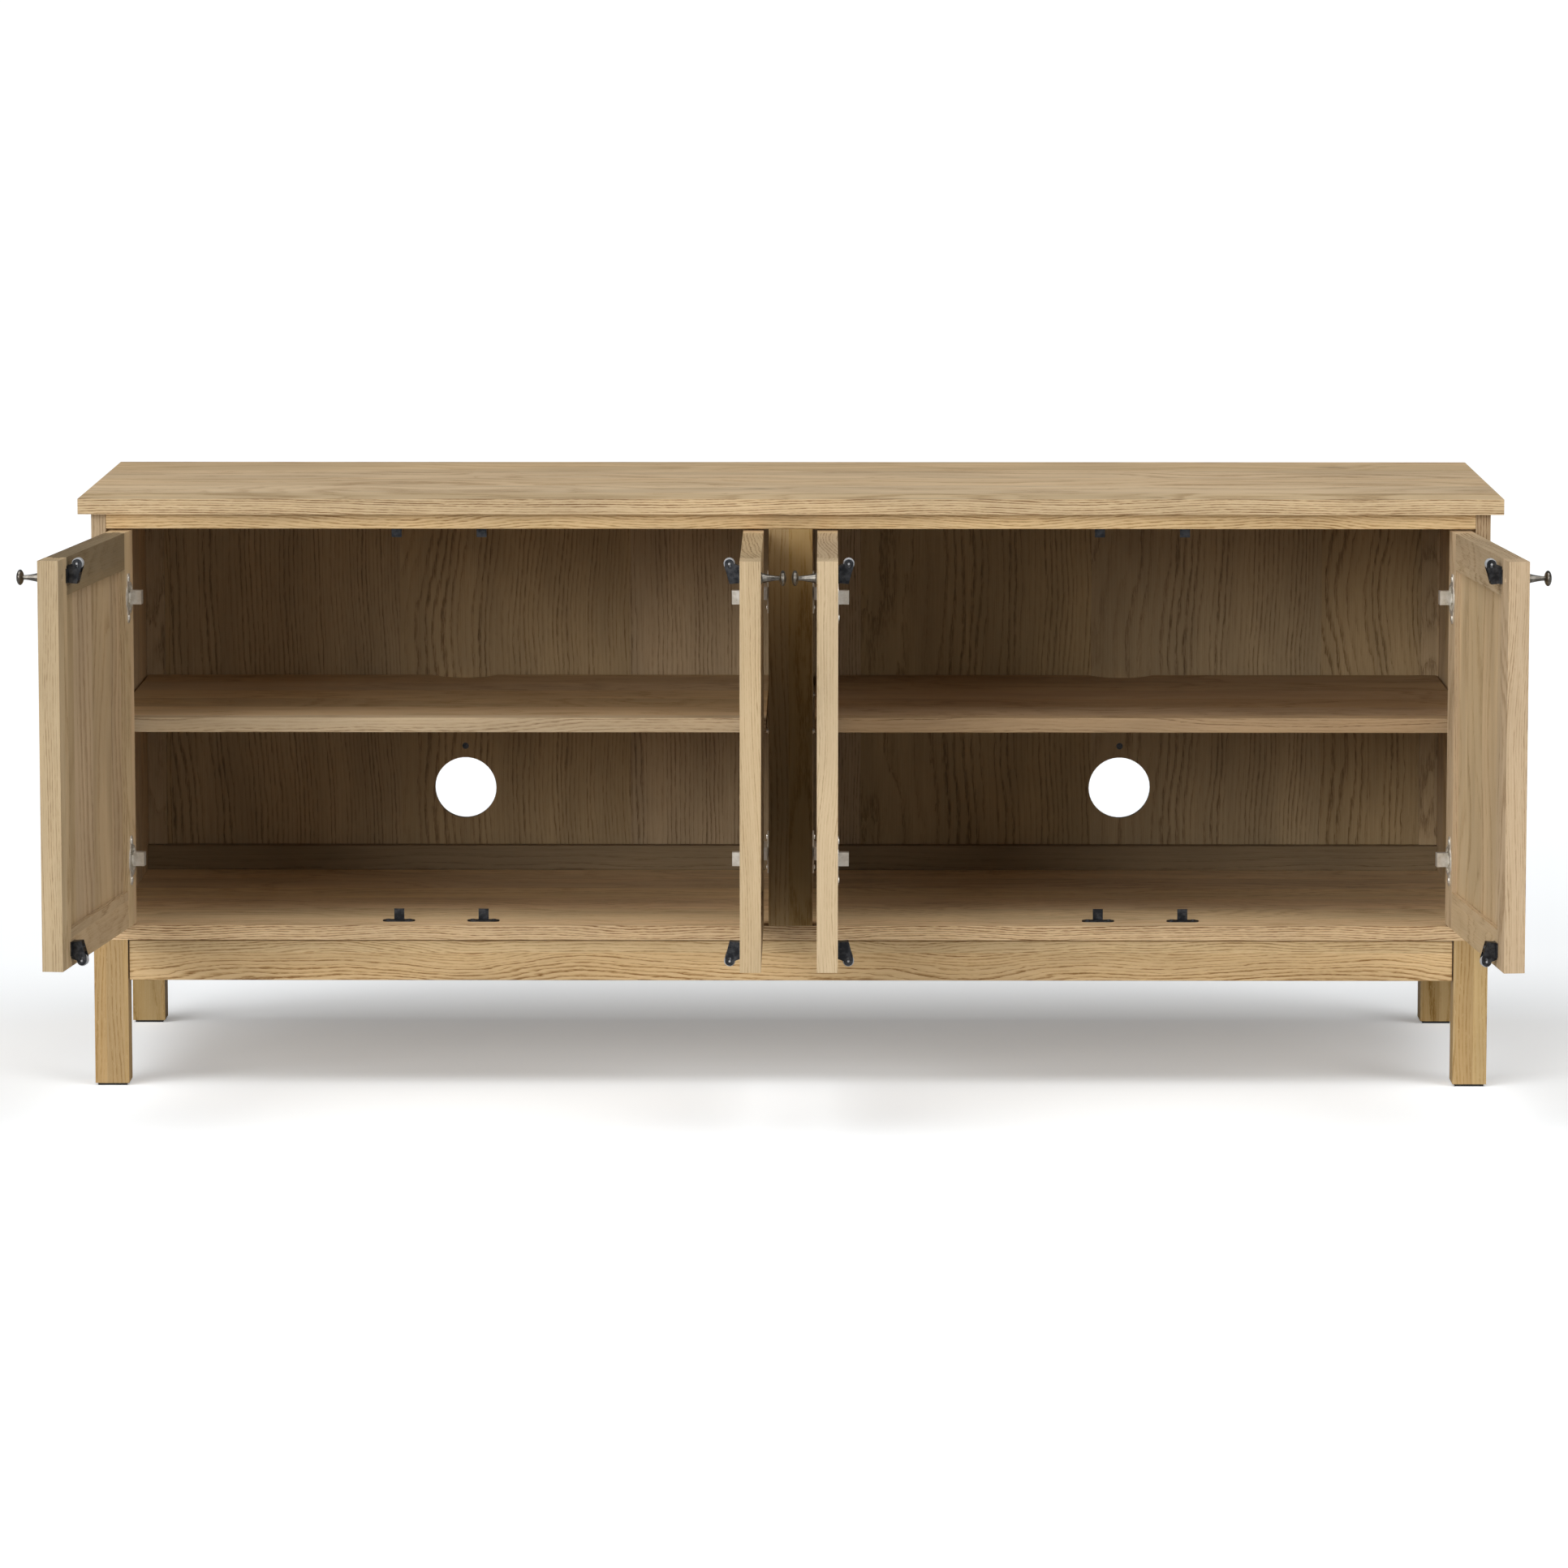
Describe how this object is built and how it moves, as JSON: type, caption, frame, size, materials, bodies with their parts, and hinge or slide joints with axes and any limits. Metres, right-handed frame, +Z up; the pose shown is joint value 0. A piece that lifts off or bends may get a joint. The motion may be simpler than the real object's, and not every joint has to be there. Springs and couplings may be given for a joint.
{
  "type": "media cabinet",
  "caption": "Low oak cabinet on square legs: two bays with a shelf and a cable hole each, behind four inset frame-and-panel doors on concealed hinges with roller catches.",
  "frame": {"origin": "on the floor, in the middle of the cabinet's outline with its doors open as stored", "axes": "+X along the width to the viewer's right, +Y to the back, +Z up; the doors open towards -Y"},
  "size_m": [1.81, 0.9284, 0.732],
  "materials": {
    "oak_top": "matt-lacquered natural oak, long staves along X",
    "oak": "matt-lacquered natural oak",
    "oak_panel": "matt-lacquered natural oak, flat-sawn panel",
    "oak_interior": "oak veneer with straight dark vertical grain",
    "nickel": "nickel-plated steel",
    "gunmetal": "gunmetal plating",
    "pewter": "dark pewter, satin",
    "roller": "dark grey moulded roller",
    "glide": "black plastic glide"
  },
  "bodies": {
    "carcass": {"top_slab": "oak_top", "upper_panel": "oak", "side_left": "oak", "side_right": "oak", "bottom_panel": "oak", "centre_stile": "oak", "partition_left": "oak_interior", "partition_right": "oak_interior", "back_panel": "oak_interior", "back_battens": "oak_interior", "back_cleats": "oak_interior", "shelf_left": "oak", "shelf_right": "oak", "shelf_pins": "nickel", "leg_front_left": "oak", "leg_front_right": "oak", "leg_back_left": "oak", "leg_back_right": "oak", "apron_front": "oak", "apron_back": "oak", "apron_left": "oak", "apron_right": "oak", "foot_glides": "glide", "leg_bolts": "nickel", "carcass_screws": "gunmetal", "catch_strikes": "gunmetal", "hinge_plates": "nickel", "hinge_arms": "nickel"},
    "door_1": {"door_1_stiles": "oak", "door_1_rails": "oak", "door_1_panel": "oak_panel", "door_1_knob": "pewter", "door_1_hinge_cups": "nickel", "door_1_catches": "gunmetal"},
    "door_2": {"door_2_stiles": "oak", "door_2_rails": "oak", "door_2_panel": "oak_panel", "door_2_knob": "pewter", "door_2_hinge_cups": "nickel", "door_2_catches": "gunmetal"},
    "door_3": {"door_3_stiles": "oak", "door_3_rails": "oak", "door_3_panel": "oak_panel", "door_3_knob": "pewter", "door_3_hinge_cups": "nickel", "door_3_catches": "gunmetal"},
    "door_4": {"door_4_stiles": "oak", "door_4_rails": "oak", "door_4_panel": "oak_panel", "door_4_knob": "pewter", "door_4_hinge_cups": "nickel", "door_4_catches": "gunmetal"},
    "door_1_roller_bottom": {"door_1_roller_bottom": "roller"},
    "door_1_roller_top": {"door_1_roller_top": "roller"},
    "door_2_roller_bottom": {"door_2_roller_bottom": "roller"},
    "door_2_roller_top": {"door_2_roller_top": "roller"},
    "door_3_roller_bottom": {"door_3_roller_bottom": "roller"},
    "door_3_roller_top": {"door_3_roller_top": "roller"},
    "door_4_roller_bottom": {"door_4_roller_bottom": "roller"},
    "door_4_roller_top": {"door_4_roller_top": "roller"}
  },
  "joints": [
    {"name": "door_1_swing", "type": "hinge", "parent": "carcass", "child": "door_1", "pos_m": [-0.8325, -0.0675, 0.201], "axis": [0, 0, 1], "range_deg": [-8, 97]},
    {"name": "door_2_swing", "type": "hinge", "parent": "carcass", "child": "door_2", "pos_m": [-0.0365, -0.0675, 0.201], "axis": [0, 0, -1], "range_deg": [0, 90]},
    {"name": "door_3_swing", "type": "hinge", "parent": "carcass", "child": "door_3", "pos_m": [0.0365, -0.0675, 0.201], "axis": [0, 0, 1], "range_deg": [0, 90]},
    {"name": "door_4_swing", "type": "hinge", "parent": "carcass", "child": "door_4", "pos_m": [0.8325, -0.0675, 0.201], "axis": [0, 0, -1], "range_deg": [-10, 95]},
    {"name": "roller_1_bottom", "type": "slide", "parent": "door_1", "child": "door_1_roller_bottom", "axis": [0, 0, 1], "range_m": [0, 0.003], "stiffness_N_per_m": 400, "springref_m": -0.002},
    {"name": "roller_1_top", "type": "slide", "parent": "door_1", "child": "door_1_roller_top", "axis": [0, 0, -1], "range_m": [0, 0.003], "stiffness_N_per_m": 400, "springref_m": -0.002},
    {"name": "roller_2_bottom", "type": "slide", "parent": "door_2", "child": "door_2_roller_bottom", "axis": [0, 0, 1], "range_m": [0, 0.003], "stiffness_N_per_m": 400, "springref_m": -0.002},
    {"name": "roller_2_top", "type": "slide", "parent": "door_2", "child": "door_2_roller_top", "axis": [0, 0, -1], "range_m": [0, 0.003], "stiffness_N_per_m": 400, "springref_m": -0.002},
    {"name": "roller_3_bottom", "type": "slide", "parent": "door_3", "child": "door_3_roller_bottom", "axis": [0, 0, 1], "range_m": [0, 0.003], "stiffness_N_per_m": 400, "springref_m": -0.002},
    {"name": "roller_3_top", "type": "slide", "parent": "door_3", "child": "door_3_roller_top", "axis": [0, 0, -1], "range_m": [0, 0.003], "stiffness_N_per_m": 400, "springref_m": -0.002},
    {"name": "roller_4_bottom", "type": "slide", "parent": "door_4", "child": "door_4_roller_bottom", "axis": [0, 0, 1], "range_m": [0, 0.003], "stiffness_N_per_m": 400, "springref_m": -0.002},
    {"name": "roller_4_top", "type": "slide", "parent": "door_4", "child": "door_4_roller_top", "axis": [0, 0, -1], "range_m": [0, 0.003], "stiffness_N_per_m": 400, "springref_m": -0.002}
  ]
}
